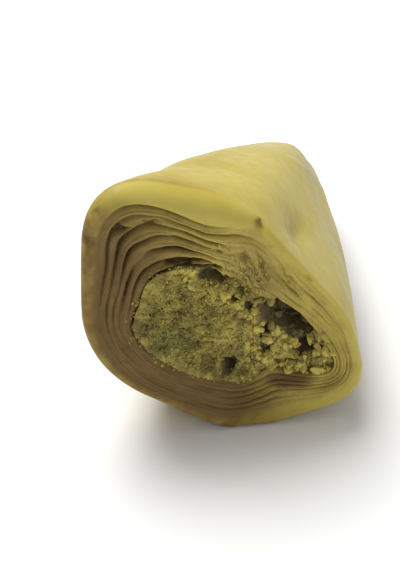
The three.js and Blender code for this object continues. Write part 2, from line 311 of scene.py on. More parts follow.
def wrinkles(points, turns, t):
    """Small wrinkles of the skin. Away from the smooth top there are long creases too."""
    fine = 0.12 * soft_noise(points, 6.0, 3) + 0.04 * soft_noise(points * (1, 0.6, 1), 2.4, 4)
    off_top = smoothstep(t, 0.25, 0.5) * (1 - 0.9 * near(turns, 75, 0.9))
    long_waves = soft_noise(points * (1, 0.5, 1), 4.0, 52)
    long_creases = bell(soft_noise(points * (1, 0.3, 1), 5.5, 51), 0.09)
    behind_cut_edge = smoothstep(t, 0.01, 0.08) * (1 - smoothstep(t, 0.93, 1))
    return behind_cut_edge * (fine + off_top * (0.16 * long_waves - 0.16 * long_creases))


def skin_rings(t):
    """Rings of the outer skin at the given shares of the depth, which may differ round a ring."""
    turns = TURNS[None, :]
    radius = CUT_RADII[None, :] + skin_relief(turns, t)
    smooth_points = body_points(radius, turns, t)
    points = body_points(radius + wrinkles(smooth_points, turns, t), turns, t)
    heel = smoothstep(t, 0, 0.16) * (1 - smoothstep(t, 0.5, 0.95)) * near(turns, *HEEL)
    points[..., 0] -= heel
    points[..., 2] = np.maximum(0, points[..., 2] - HEEL_DROP * heel)
    return points


def core_rings(t, gap):
    """Rings on the side of the core or, with a gap, on the wall of the cavity round it."""
    t = np.asarray(t, float)[:, None]
    points = body_points(CORE_RADII[None, :], TURNS[None, :], t)
    centre = body_points(np.zeros((1, 1)), np.zeros((1, 1)), t)
    outward = points - centre
    return points + gap * outward / np.linalg.norm(outward, axis=-1, keepdims=True)


def edge_rounding(turns):
    """How far the outer sheet rolls over the edge of the cut: most at the top left, least at the right."""
    return with_features(RIM_ROUNDING, ROLLED_EDGES, turns)


def rim_width(turns, band):
    """The smooth rim takes up less than half of the band of dough between the skin and the core."""
    return np.minimum(with_features(RIM_WIDTH, WIDER_RIMS, turns), 0.45 * band)


def hole_depth(flat, holes):
    """Depth of a list of long rounded holes at places on the cut."""
    deep = np.zeros(flat.shape[:-1])
    for x, z, long, wide, turn, most in holes:
        away = flat - (x, z)
        c, s = np.cos(np.radians(turn)), np.sin(np.radians(turn))
        u = (away[..., 0] * c + away[..., 1] * s) / long
        w = (away[..., 1] * c - away[..., 0] * s) / wide
        deep = np.maximum(deep, most * np.exp(-((u * u + w * w) ** 2)))
    return deep


def sheets_passed(turns, inward, flat):
    """How many sheets lie between the rim and each point of the cut. Their edges wander a little."""
    wander = 0.24 * soft_noise(flat, 6.0, 11) + 0.10 * soft_noise(flat, 2.0, 12)
    wander = wander * smoothstep(inward, 0, 0.12) * smoothstep(1 - inward, 0, 0.1)
    return with_features(LAYERS, FEWER_LAYERS, turns) * inward + wander


def between_sheets(passed):
    """1 midway between two sheets and 0 at the middle of a sheet."""
    return (0.5 + 0.5 * np.cos(2 * np.pi * passed)) ** 2


def gap_share(turns, inward, past_rim, passed, crumbled):
    """How open the gap between two sheets is. The sheets gape at the upper left and less at the right
    and below, and are pressed together at the left. The first gap opens above and at the right."""
    sheet = np.floor(passed + 0.5)
    along_gap = np.stack([3 * turns + 0 * sheet, sheet * 7.3], axis=-1)
    width = np.clip(0.8 + 0.5 * soft_noise(along_gap, 0.8, 13), 0.15, 1.3)
    crease = bell(passed - sheet, 0.09)
    gap = (0.68 * between_sheets(passed) + 0.3 * crease) * width * (1 - 0.8 * crumbled)
    gaping = np.clip(with_features(0, GAPING_SIDES, turns), 0, 1)
    gap = np.where(past_rim < 0, gap * bell(past_rim, 0.5), gap) * (0.12 + 0.88 * gaping)
    gap = gap * (1 - 0.9 * smoothstep(inward, 0.88, 0.96) * near(turns, 165, 0.6))
    under_rim = 0.7 * np.maximum(near(turns, 108, 0.6), near(turns, 30, 0.6))
    return np.where(sheet < 1, gap * under_rim, gap)


def leaf_lines(flat, passed, crumbled):
    """1 on the fine lines between the leaves of dough in a sheet."""
    wander = 0.5 * soft_noise(flat, 3.0, 16)
    lines = 0.5 - 0.5 * np.cos(2 * np.pi * (LEAVES_IN_LAYER * passed + wander))
    shown = np.clip(0.5 + 0.8 * soft_noise(flat, 4.0, 19), 0, 1)
    return lines * shown * (1 - between_sheets(passed)) * (1 - crumbled)


def torn_gaps(flat):
    """1 in the gaps between torn flakes, which are drawn out along one slanting direction."""
    fibres = np.stack([
        0.36 * (0.42 * flat[..., 0] - 0.91 * flat[..., 1]),
        0.91 * flat[..., 0] + 0.42 * flat[..., 1],
    ], axis=-1)
    return smoothstep(soft_noise(fibres, 1.3, 17) + 0.6 * soft_noise(fibres, 0.6, 18), -0.5, 0.7)


def cut_rings():
    """Rings of the cut face from the rim to the cavity, with what is painted on them."""
    turns = TURNS[None, :]
    rounding = edge_rounding(turns)
    outer = skin_rings(rounding / DEPTH)[0]
    inner = core_rings([0], CORE_GAP)[0]
    across = (inner - outer) * (1, 0, 1)
    band = np.linalg.norm(across, axis=-1)
    rim = rim_width(TURNS, band) / band
    rim_shares = np.linspace(0, 1, RIM_RINGS + 1)[1:, None] ** 1.3
    layer_shares = np.linspace(0, 1, LAYER_RINGS + 1)[1:, None]
    share = np.concatenate([rim * rim_shares, rim + (1 - rim) * layer_shares])
    points = outer + across * share[..., None]
    flat = points[..., [0, 2]]
    to_edge = share * band
    past_rim = to_edge - rim * band
    inward = np.clip(past_rim / ((1 - rim) * band), 0, 1)
    in_layers = smoothstep(past_rim, -0.4, 0.4)

    # The sheets, with gaps between them. Above the core the knife has torn their ends to flakes.
    crumbled = near(turns, 84, 0.5) * smoothstep(inward, 0.2, 0.5)
    torn = crumbled * torn_gaps(flat)
    passed = sheets_passed(turns, inward, flat)
    gap = gap_share(turns, inward, past_rim, passed, crumbled)
    leaf = leaf_lines(flat, passed, crumbled)
    uneven = LAYER_UNEVEN * (1 + np.sin(4 * turns + 2.3 * np.floor(passed + 0.5)))
    rough = 0.06 * soft_noise(flat, 0.6, 14) + 0.12 * soft_noise(flat, 1.9, 15)
    ragged = 0.35 * np.stack([soft_noise(flat, 0.8, 31), soft_noise(flat, 0.8, 32)], axis=-1)
    holes = hole_depth(flat + ragged, SHEET_HOLES)
    sheets = uneven + LEAF_DEPTH * leaf + rough + FLAKE_DEPTH * torn + LAYER_RECESS
    deep = GAP_DEPTH * gap + holes + in_layers * sheets

    # The innermost sheets are frayed at the upper right, and lie back from the cut above and left.
    frayed = near(turns, 55, 0.45) * smoothstep(inward, 0.75, 1)
    deep = deep + 0.5 * frayed * (1 + soft_noise(flat, 1.1, 33))
    deep = deep + 1.1 * near(turns, 72, 0.4) * smoothstep(inward, 0.72, 1)
    deep = deep + 0.3 * near(turns, 185, 1.1) * smoothstep(inward, 0.82, 1)
    rolled = rounding * (1 - np.sqrt(1 - (1 - np.clip(to_edge / rounding, 0, 1)) ** 2))
    points[..., 1] = np.maximum(0, deep) + rolled

    # The gaps, the gaps between torn flakes and the holes are painted dark: painted shade in them, partly
    # also darker dough in the gaps.
    hole = np.clip(holes / 1.1, 0, 1) ** 1.5
    return points, {
        "gap": np.clip(np.maximum(gap + 0.55 * torn, hole), 0, 1),
        "leaf": leaf * in_layers,
        "past_rim": past_rim,
        "hole": hole,
        "torn": crumbled * in_layers,
    }


class Shade:
    """A value, colour or vector of a material. Expressions on values add Math nodes."""

    def __init__(self, tree, socket=None):
        self.tree = tree
        self.socket = socket

    def node(self, kind, settings=None, sockets=None, output=0):
        made = self.tree.nodes.new(kind)
        for name, value in (settings or {}).items():
            setattr(made, name, value)
        for name, value in (sockets or {}).items():
            if isinstance(value, Shade):
                self.tree.links.new(value.socket, made.inputs[name])
            else:
                made.inputs[name].default_value = value
        return Shade(self.tree, made.outputs[output] if len(made.outputs) else None)

    def maths(self, operation, first, second):
        return self.node("ShaderNodeMath", {"operation": operation}, {0: first, 1: second})

    def __add__(self, other):
        return self.maths("ADD", self, other)

    def __sub__(self, other):
        return self.maths("SUBTRACT", self, other)

    def __rsub__(self, other):
        return self.maths("SUBTRACT", other, self)

    def __mul__(self, other):
        return self.maths("MULTIPLY", self, other)

    __radd__ = __add__
    __rmul__ = __mul__

    def position(self, stretch=(1, 1, 1)):
        place = self.node("ShaderNodeTexCoord", output="Object")
        return self.node("ShaderNodeVectorMath", {"operation": "MULTIPLY"}, {0: place, 1: stretch})

    def noise(self, size, detail=3.0, stretch=(1, 1, 1)):
        """Cloudy values with lumps of the given size in millimetres."""
        sockets = {"Vector": self.position(stretch), "Scale": 1 / (size * METRES), "Detail": detail}
        return self.node("ShaderNodeTexNoise", sockets=sockets)

    def painted(self, name):
        """A value that the mesh carries at each point."""
        return self.node("ShaderNodeAttribute", {"attribute_name": name}, output="Fac")

    def between(self, low, high):
        """Goes smoothly from 0 to 1 as this value goes from low to high."""
        sockets = {"Value": self, "From Min": low, "From Max": high}
        return self.node("ShaderNodeMapRange", {"interpolation_type": "SMOOTHSTEP"}, sockets)

    def blend(self, first, second):
        """A colour between two others, with this value as the share of the second."""
        return self.node("ShaderNodeMix", {"data_type": "RGBA"}, {0: self, 6: first, 7: second}, output=2)

    def bump(self, strength, distance, height):
        """Normals of fine relief of the given height, over a distance in millimetres."""
        sockets = {"Strength": strength, "Distance": distance * METRES, "Height": height}
        return self.node("ShaderNodeBump", sockets=sockets)


def colour(red, green, blue):
    """A display colour, 0 to 255, as the linear colour that a shader takes."""
    shares = np.array([red, green, blue]) / 255
    linear = np.where(shares <= 0.04045, shares / 12.92, ((shares + 0.055) / 1.055) ** 2.4)
    return (*linear.tolist(), 1.0)


def new_material(name):
    material = bpy.data.materials.new(name)
    material.use_nodes = True
    material.node_tree.nodes.clear()
    return material, Shade(material.node_tree)


def finish_material(shade, surface):
    output = shade.tree.nodes.new("ShaderNodeOutputMaterial")
    shade.tree.links.new(surface.socket, output.inputs["Surface"])


# Colours of the skin. Its browned colour also stands for painted shade in the dimple, on the ridge and
# beside the rim.
SKIN = colour(187, 168, 74)
SKIN_LIGHT = colour(194, 179, 87)
SKIN_SHADE = colour(174, 155, 68)
SKIN_STAIN = colour(160, 136, 62)
PALE_SKIN = colour(182, 171, 118)
SKIN_BROWN_AND_SHADE = colour(124, 97, 46)
FLOUR_FILM = colour(178, 165, 124)
FLOUR_GRAINS = colour(222, 213, 178)
EDGE_LIGHT = colour(214, 203, 148)
EDGE_SHADE = colour(134, 112, 54)
# Colours of the sheets at the cut, most of them as plain dough and as dough browned by the syrup, which
# the holes also take as painted shade. The colours of the gaps are painted shade in them, partly also the
# darker dough inside.
SHEET = (colour(190, 171, 84), colour(120, 96, 53))
SHEET_PATCH = (colour(152, 131, 62), colour(106, 83, 48))
SHEET_GRAIN = colour(205, 190, 114)
LEAF_LINE = (colour(138, 118, 55), colour(92, 71, 40))
SHEET_GAP_SHADE = (colour(108, 88, 40), colour(62, 47, 27))


def dough_material():
    material, shade = new_material("baked_dough")
    cut = shade.painted("cut")
    brown_and_shade = shade.painted("brown_and_shade")
    flour = shade.painted("flour")

    # The skin, with stains, paler places and a film of flour.
    cloud = shade.noise(11.0, 4.0).between(0.35, 0.65)
    fine = shade.noise(1.6, 5.0, (1, 0.75, 1)).between(0.3, 0.7)
    stain = shade.noise(13.0, 3.0).between(0.5, 0.68)
    dusty = shade.noise(5.0, 5.0).between(0.35, 0.65)
    skin = cloud.blend(SKIN, SKIN_LIGHT)
    skin = (fine * 0.15).blend(skin, SKIN_SHADE)
    skin = (flour * stain * 0.5).blend(skin, SKIN_STAIN)
    skin = (shade.painted("pale") * dusty * 0.6).blend(skin, PALE_SKIN)
    skin = (flour * (0.25 + 0.6 * dusty)).blend(skin, FLOUR_FILM)

    # Clusters of flour grains, some of them smeared to streaks.
    cluster = (shade.noise(7.0, 4.0) + flour * 0.14).between(0.54, 0.7)
    streak = shade.noise(0.5, 3.0, (0.16, 1.2, 0.8)).between(0.54, 0.64)
    powder = shade.noise(0.3, 2.0).between(0.5, 0.7) * flour
    fleck = shade.noise(0.6, 2.0, (1, 0.5, 1)).between(0.64, 0.71)
    grains = (streak * 0.4 + powder * 0.35 + fleck * 0.6) * cluster
    skin = (grains * 0.6).blend(skin, FLOUR_GRAINS)

    # The edge of an outer sheet is pale, and shades the sheet under it.
    edge = shade.painted("edge")
    past_edge = shade.painted("past_edge") + shade.noise(8.0, 0.6) * 1.2 - 0.6
    on_top = 1 - past_edge.between(-0.06, 0.06)
    pale_edge = past_edge.between(-0.8, -0.15) * on_top * edge
    shaded_edge = past_edge.between(-0.04, 0.06) * (1 - past_edge.between(0.1, 0.9)) * edge
    skin = (pale_edge * 0.55).blend(skin, EDGE_LIGHT)
    skin = (shaded_edge * 0.5).blend(skin, EDGE_SHADE)
    # Browning and painted shade darken the skin, mottled by blotches.
    blotch = shade.noise(2.2, 3.0).between(0.35, 0.65)
    skin = (brown_and_shade * (0.7 + 0.3 * blotch)).blend(skin, SKIN_BROWN_AND_SHADE)

    # The sheets at the cut, darker on the lines between their leaves, with painted shade in their gaps and
    # holes, partly also the darker dough in the gaps.
    grain = shade.noise(0.45, 3.0).between(0.3, 0.7)
    patch = shade.noise(2.6, 3.0).between(0.4, 0.7)
    sheet = brown_and_shade.blend(*SHEET)
    sheet = (grain * 0.3 * (1 - brown_and_shade)).blend(sheet, SHEET_GRAIN)
    sheet = (patch * 0.4).blend(sheet, brown_and_shade.blend(*SHEET_PATCH))
    sheet = (shade.painted("leaf") * 0.4).blend(sheet, brown_and_shade.blend(*LEAF_LINE))
    sheet = shade.painted("gap").between(0.05, 0.95).blend(sheet, brown_and_shade.blend(*SHEET_GAP_SHADE))

    crinkle = shade.noise(1.8, 4.0, (1, 0.7, 1)) + shade.noise(0.6, 3.0) * 0.5
    fold_lines = shade.noise(1.5, 3.0, (0.25, 1.1, 0.6)) * (0.1 + 0.9 * flour)
    height = crinkle * (0.4 + 0.6 * cut) + fold_lines + grains * 0.4 + on_top * edge * 1.2
    surface = shade.node("ShaderNodeBsdfPrincipled", sockets={
        "Base Color": cut.blend(skin, sheet),
        "Roughness": 0.45 + 0.12 * fine + 0.12 * cut,
        "Normal": shade.bump(0.45, 0.25, height),
        "IOR": 1.42,
        "Specular IOR Level": 0.3,
        "Subsurface Weight": 0.15,
        "Subsurface Radius": (1.0, 0.7, 0.25),
        "Subsurface Scale": 0.0025,
    })
    finish_material(shade, surface)
    return material


def painted_object(name, points, faces, painted, material):
    """An object in the part's own frame, with the values that its points carry."""
    mesh = bpy.data.meshes.new(name)
    mesh.from_pydata(((points + MIDDLE_TO_ORIGIN) * METRES).tolist(), [], faces)
    for key, values in painted.items():
        mesh.attributes.new(key, "FLOAT", "POINT").data.foreach_set("value", values.astype(np.float32))
    mesh.materials.append(material)
    made = bpy.data.objects.new(name, mesh)
    bpy.context.scene.collection.objects.link(made)
    return made


def closed_surface(name, first, rings, last, painted, material):
    """A smooth closed surface from rings of points, with a single point at either end."""
    count, around = rings.shape[:2]
    points = np.concatenate([first[None], rings.reshape(-1, 3), last[None]])
    ring, index = np.meshgrid(np.arange(count - 1), np.arange(around), indexing="ij")
    here = 1 + ring * around + index
    beside = 1 + ring * around + (index + 1) % around
    quads = np.stack([here, here + around, beside + around, beside], axis=-1).reshape(-1, 4)
    edge = np.arange(around)
    end = 1 + (count - 1) * around
    first_fan = np.stack([0 * edge, 1 + edge, 1 + (edge + 1) % around], axis=-1)
    last_fan = np.stack([0 * edge + len(points) - 1, end + (edge + 1) % around, end + edge], axis=-1)
    faces = [*quads.tolist(), *first_fan.tolist(), *last_fan.tolist()]
    made = painted_object(name, points, faces, painted, material)
    made.data.polygons.foreach_set("use_smooth", np.ones(len(faces), bool))
    return made


cavity = core_rings(np.linspace(CAVITY_END, 0, CAVITY_RINGS, endpoint=False), CORE_GAP)
cut_points, cut_paint = cut_rings()
first_row = edge_rounding(TURNS)[None] / DEPTH
row_shares = np.linspace(0, 1, SKIN_ROWS)[:, None] ** 1.25
corner_shares = np.sin(np.linspace(0, np.pi / 2, CORNER_ROWS + 2)[1:-1])[:, None]
skin = np.concatenate([
    skin_rings(first_row + (CORNER_START - first_row) * row_shares),
    skin_rings(CORNER_START + (1 - CORNER_START) * corner_shares + 0 * first_row),
])


def within_angle(degrees, full, none):
    """1 within an angle of one direction from the centre of the cut, and 0 past a wider one."""
    away = np.abs(turn_between(TURNS, np.radians(degrees)))
    return 1 - smoothstep(away, np.radians(full), np.radians(none))


# The syrup has browned the cut at the left and the bottom, two folds of dough at the lower right of the
# filling and the torn ends. The holes are painted dark as painted shade. The rim keeps more of the colour
# of the skin; it is darker at the left and the bottom, partly browning and partly painted shade, and
# painted shade darkens it at the top left.
FOLDS = [(9.6, 7.4, 4.2, 2.1, -8, 1.0), (15.6, 6.2, 2.4, 1.4, 35, 0.5)]
past_rim = cut_paint["past_rim"]
fold = hole_depth(cut_points[..., [0, 2]], FOLDS)
sheets_browned = within_angle(-153, 62, 112)
rim_brown_and_shade = np.maximum(within_angle(-143, 50, 95), within_angle(154, 15, 35))
from_rim = smoothstep(past_rim, -1.6, 0.6)
torn_browned = 0.5 * near(TURNS, 62, 0.6) * smoothstep(past_rim, 1, 3)
cut_brown_and_shade = np.maximum(rim_brown_and_shade + (sheets_browned - rim_brown_and_shade) * from_rim, fold)
cut_brown_and_shade = np.maximum(cut_brown_and_shade, np.maximum(0.8 * cut_paint["hole"], torn_browned))
cut_share = np.maximum(smoothstep(past_rim, -0.7, 0.2), cut_paint["hole"])

# The skin is darker underneath. Beside the rim it is darker at the left and the bottom, partly browning
# and partly painted shade, and painted shade darkens it at the top left beside the cut, in the dimple and
# on the ridge. It is paler at the right side and towards the far corner, and floury at the back, below and
# at that corner.
skin_t = skin[..., 1] / DEPTH
under = 1 - smoothstep(skin[..., 2], 0, 11)
beside_cut = 1 - smoothstep(skin[..., 1], 0.5, 8)
# Beside the rim the skin is darker, and at the top left this is painted shade.
beside_rim = np.maximum(rim_brown_and_shade, 0.6 * within_angle(134, 14, 48)) * beside_cut
# Painted shade in the dimple and on the ridge.
in_dimple = near(TURNS, 60, 0.25) * bell(skin_t - 0.2, 0.12)
ridge_end = near(TURNS, 118, 0.35) * (1 - smoothstep(skin_t, 0.5, 0.8))
along_ridge = near(TURNS, 122, 0.3) * smoothstep(skin_t, 0.1, 0.3) * (1 - smoothstep(skin_t, 0.6, 0.85))
skin_brown_and_shade = np.maximum(0.4 * under, beside_rim) + 0.3 * in_dimple
skin_brown_and_shade = skin_brown_and_shade + 0.15 * ridge_end + 0.12 * along_ridge

right_side = smoothstep(np.cos(TURNS + np.radians(15)), 0, 0.9)
off_top = 1 - 0.8 * near(TURNS, 95, 0.7) * (1 - smoothstep(skin_t, 0.7, 0.9))
skin_pale = right_side * (0.55 + 0.45 * smoothstep(skin_t, 0.1, 0.5))
skin_pale = np.maximum(skin_pale, 0.5 * smoothstep(skin_t, 0.3, 0.6) * off_top)
skin_flour = np.maximum(near(TURNS, 168, 0.6), near(TURNS, -50, 0.8)) * smoothstep(skin_t, 0.1, 0.4)
skin_flour = np.maximum(skin_flour, 0.7 * smoothstep(skin_t, 0.62, 0.8))
skin_past_edge, skin_edge = sheet_edges(TURNS, skin_t)


def over_dough(in_cavity, on_cut, on_skin):
    """Values for the cavity, the cut and the skin, in the order of the mesh's points."""
    in_cavity = np.full(cavity.shape[:2], float(in_cavity))
    on_cut = np.broadcast_to(on_cut, cut_points.shape[:2])[::-1]
    on_skin = np.broadcast_to(on_skin, skin.shape[:2])
    return np.concatenate([in_cavity[0, :1], in_cavity.ravel(), on_cut.ravel(), on_skin.ravel(), [0.0]])


# The wall of the cavity round the core is painted as the darkest browned gap, which is painted shade.
dough_paint = {
    "cut": over_dough(1, cut_share, 0),
    "gap": over_dough(1, np.maximum(cut_paint["gap"], 0.35 * fold), 0),
    "leaf": over_dough(0, cut_paint["leaf"], 0),
    "brown_and_shade": over_dough(1, cut_brown_and_shade, skin_brown_and_shade),
    "pale": over_dough(0, 0, skin_pale),
    "flour": over_dough(0, 0, skin_flour),
    "past_edge": over_dough(0, 0, skin_past_edge),
    "edge": over_dough(0, 0, skin_edge),
}
baked_dough = dough_material()
dough = closed_surface(
    "folded_dough",
    centre_point(CAVITY_END),
    np.concatenate([cavity, cut_points[::-1], skin]),
    centre_point(1.0),
    dough_paint,
    baked_dough,
)
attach(dough, "root")
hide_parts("dough")


# The filling. Pistachios ground to a moist meal are pressed together in the fold. The knife has left
# the meal level and fine at the left, and has crumbled it at the right, where most of the hollows are.
CORE_FRONT = 0.2
CORE_RINGS = 110
CORE_ROWS = 12
# Lumps of the meal as their size and height.
PRESSED_LUMPS = (2.1, 0.75)
LOOSE_LUMPS = (2.3, 1.8)
# Hollows as x, z, half length, half width, turn in degrees and depth.
HOLLOWS = [
    (-0.2, 26.8, 2.6, 1.15, -6, 3.4),
    (9.0, 17.6, 4.4, 2.1, -42, 4.4),
    (11.9, 12.0, 1.7, 1.0, -60, 3.0),
    (6.4, 14.8, 1.9, 1.0, 72, 2.4),
    (1.2, 10.8, 1.6, 1.1, 70, 2.8),
    (6.6, 12.6, 0.9, 0.6, 30, 1.6),
    (12.7, 8.9, 0.7, 0.6, 0, 1.2),
    (3.7, 20.4, 1.0, 0.7, -25, 1.5),
    (1.6, 22.3, 0.9, 0.6, -20, 1.4),
    (5.0, 21.5, 0.9, 0.7, 70, 1.4),
    (2.6, 23.8, 0.8, 0.6, -20, 1.2),
]
MEAL_DARK = colour(112, 98, 40)
MEAL_LIGHT = colour(212, 194, 98)
MEAL_GREEN = colour(94, 101, 48)
MEAL_FLECK = colour(88, 78, 36)
HUSK = colour(104, 76, 46)
# The colour of painted shade in the hollows and inside the pastry.
HOLLOW_SHADE = colour(118, 105, 71)


def looseness(flat):
    """0 where the meal is pressed level, at the left, and 1 where it has crumbled, at the right."""
    return smoothstep(flat[..., 0], 2, 8)


def lump_height(flat, size, high):
    """Height of rounded lumps that lie close together."""
    cell = np.floor(flat / size)
    best = np.zeros(flat.shape[:-1])
    for step in np.ndindex(3, 3):
        near_cell = cell + np.array(step) - 1
        centre = near_cell + np.stack([scatter(near_cell, 1), scatter(near_cell, 2)], axis=-1)
        away = ((centre * size - flat) ** 2).sum(-1)
        lift = 0.6 + 0.4 * scatter(near_cell, 3)
        best = np.maximum(best, lift * (1 - away / (0.6 * size * size)))
    return high * best


def hollow_depth(flat):
    """Depth of the hollows, with ragged outlines."""
    ragged = 0.5 * np.stack([soft_noise(flat, 1.4, 27), soft_noise(flat, 1.4, 28)], axis=-1)
    return hole_depth(flat + ragged, HOLLOWS)


def core_radius(turns):
    return np.interp(turns, TURNS, CORE_RADII, period=2 * np.pi)


def core_front(flat):
    """How far the front of the filling lies behind the cut. The pressed meal is smeared over its edge."""
    radius, turns = from_centre(flat)
    loose = looseness(flat)
    smeared = smoothstep(radius / core_radius(turns), 0.8, 1) * (1 - loose)
    pressed_front = 0.7 - lump_height(flat, *PRESSED_LUMPS)
    loose_front = 2.1 - lump_height(flat, *LOOSE_LUMPS)
    front = (CORE_FRONT + pressed_front) * (1 - 0.6 * smeared)
    return front + (loose_front - pressed_front) * loose + hollow_depth(flat)


def behind_cut(flat, depth):
    """Places on the cut moved back into the pastry, which grows narrower on the way."""
    radius, turns = from_centre(flat)
    return body_points(radius, turns, depth / DEPTH)


def pale_band(flat):
    """A band of pale crumbs along the top of the pressed meal."""
    across = (flat - (-0.5, 23.8)) @ np.array([0.6, 0.8])
    return bell(across, 1.2) * smoothstep(flat[..., 0], -8, -4) * (1 - smoothstep(flat[..., 0], 3, 6))


def meal_tone(flat):
    """Paler and darker patches of the meal, which is palest along its top and right of its middle."""
    patches = 0.25 * soft_noise(flat, 1.5, 22) + 0.15 * soft_noise(flat, 4.0, 24)
    lumps = 0.35 * (lump_height(flat, 1.5, 1.0) - 0.6)
    right_of_middle = bell(np.linalg.norm(flat - (3.3, 16.5), axis=-1), 4.0)
    return 0.4 + patches + lumps + 0.54 * pale_band(flat) + 0.22 * right_of_middle


def meal_green(flat):
    """The meal is greener at the lower left."""
    lower_left = bell(np.linalg.norm(flat - (-6.2, 16.3), axis=-1), 3.6)
    return smoothstep(0.7 * soft_noise(flat + (3.0, 0.0), 3.0, 25) + 0.9 * lower_left, 0.1, 1.1)


def painted_hollow_shade(flat):
    """Painted shade in the hollows and on their walls."""
    return smoothstep(hollow_depth(flat), 0.2, 1.3)


def filling_material():
    material, shade = new_material("ground_pistachio")
    fleck = shade.noise(0.5, 3.0).between(0.35, 0.65)
    husk = shade.noise(0.9, 2.0, (1.3, 1, 0.8)).between(0.62, 0.7)
    meal = shade.painted("tone").blend(MEAL_DARK, MEAL_LIGHT)
    meal = (shade.painted("green") * 0.65).blend(meal, MEAL_GREEN)
    meal = (fleck * 0.3).blend(meal, MEAL_FLECK)
    meal = (husk * 0.6).blend(meal, HUSK)
    # Painted shade in the hollows, between the loose crumbs and on the side of the core inside the pastry.
    meal = shade.painted("dark").between(0.1, 0.9).blend(meal, HOLLOW_SHADE)
    height = shade.noise(0.5, 4.0) * 0.6 + shade.noise(0.2, 3.0) * 0.4
    surface = shade.node("ShaderNodeBsdfPrincipled", sockets={
        "Base Color": meal,
        "Roughness": 0.62 + 0.2 * fleck,
        "Normal": shade.bump(0.5, 0.2, height),
        "IOR": 1.45,
        "Subsurface Weight": 0.08,
        "Subsurface Radius": (1.0, 0.8, 0.3),
        "Subsurface Scale": 0.001,
    })
    finish_material(shade, surface)
    return material


# The front is lowered a little to bed the grains in it, but not at the smeared edge.
shares = np.linspace(0, 1, CORE_RINGS + 1)[1:, None] ** 0.8
front_flat = body_points(shares * CORE_RADII, TURNS[None], np.zeros((1, 1)))[..., [0, 2]]
crumble = 0.16 * soft_noise(front_flat, 0.5, 21) + 0.3 * (0.6 - lump_height(front_flat, 0.95, 1.0))
below_grains = 0.25 * (1 - 0.8 * smoothstep(shares, 0.85, 1) * (1 - looseness(front_flat)))
front_depth = np.maximum(0.02, core_front(front_flat) + crumble + below_grains)
front = behind_cut(front_flat, front_depth)
side_share = np.linspace(0, 1, CORE_ROWS + 1)[1:, None]
side_t = front_depth[-1][None] / DEPTH * (1 - side_share) + CORE_REACH * side_share
side = body_points(CORE_RADII[None, :], TURNS[None, :], side_t)
front_middle = np.array([CUT_CENTRE[0], front_depth[0].mean(), CUT_CENTRE[1]])

# Painted shade in the hollows and, at the right, in the gaps between the loose crumbs; the side of the
# core inside the pastry is painted shade all over.
front_painted_shade = np.maximum(painted_hollow_shade(front_flat), 0.6 * smoothstep(front_flat[..., 0], 3, 8))
no_side = np.zeros(side[..., 0].size)
core_paint = {
    "tone": np.concatenate([[0.5], meal_tone(front_flat).ravel() - 0.08, no_side, [0.0]]),
    "green": np.concatenate([[0.3], meal_green(front_flat).ravel(), no_side, [0.0]]),
    "dark": np.concatenate([[0.0], front_painted_shade.ravel(), 1 + no_side, [1.0]]),
}
ground_pistachio = filling_material()
core = closed_surface(
    "pistachio_core",
    front_middle,
    np.concatenate([front, side]),
    centre_point(CORE_REACH),
    core_paint,
    ground_pistachio,
)
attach(core, "root")
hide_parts("filling")


# Grains of pistachio. The meal's fine grains lie close together all over the cut, pressed flat at the
# left and loose at the right, where coarse crumbs stand out too. All are chips with flat broken sides.
# At most this many of each are kept, from a few times as many places tried.
FINE_GRAINS = 2200
COARSE_CRUMBS = 420
TRIES_PER_GRAIN = 8
BROKEN_SIDES = 10
GRAIN_SEED = 5
# Where grains have spilled over the sheets round the core, as a direction, its spread and how far.
SPILLED = [(72, 0.4, 1.6), (165, 0.7, 1.3)]


def ball(subdivisions):
    """Corners and faces of a ball, which has 80 triangles at 2 subdivisions and 320 at 3."""
    made = bmesh.new()
    bmesh.ops.create_icosphere(made, subdivisions=subdivisions, radius=1)
    corners = np.array([vertex.co for vertex in made.verts])
    faces = np.array([[vertex.index for vertex in face.verts] for face in made.faces])
    made.free()
    return corners, faces


def grain_spots(draw, count, on_pressed, on_loose, past_edge):
    """Places on the front of the core, at most the given count, with how loose the meal is there. One
    share of them is kept on the pressed meal and another on the loose meal, and few in a hollow."""
    tries = TRIES_PER_GRAIN * count
    turn = draw.uniform(-np.pi, np.pi, tries)
    spill = with_features(past_edge, SPILLED, turn)
    limit = core_radius(turn) + draw.uniform(-1, 1, tries) * spill
    kept = draw.uniform(0, 1, tries) < (limit / CORE_RADII.max()) ** 2
    share = np.sqrt(draw.uniform(0, 1, tries))
    spots = CUT_CENTRE + np.stack([np.cos(turn), np.sin(turn)], axis=-1) * (share * limit)[:, None]
    loose = np.maximum(looseness(spots), 0.9 * pale_band(spots))
    kept &= draw.uniform(0, 1, tries) < on_pressed + (on_loose - on_pressed) * loose
    in_hollow = hollow_depth(spots) > draw.uniform(0.3, 1.2, tries)
    kept &= ~in_hollow | (draw.uniform(0, 1, tries) < 0.3)
    return spots[kept][:count], loose[kept][:count]


def broken_bits(draw, count, subdivisions):
    """Corners and faces of bits about 1 in size, each a ball with flat sides broken off it."""
    corners, faces = ball(subdivisions)
    sides = draw.normal(size=(count, BROKEN_SIDES, 3))
    sides = sides / np.linalg.norm(sides, axis=-1, keepdims=True)
    sides = sides / draw.uniform(0.36, 0.78, (count, BROKEN_SIDES, 1))
    cut_off = np.einsum("gsi,vi->gsv", sides, corners).max(axis=1)
    shapes = corners[None] / np.maximum(cut_off, 1.0)[..., None]
    rough = 1 + 0.09 * soft_noise(corners[None] + draw.uniform(0, 90, (count, 1, 3)), 0.3, 41)
    return shapes * rough[..., None], faces[None] + (np.arange(count) * len(corners))[:, None, None]


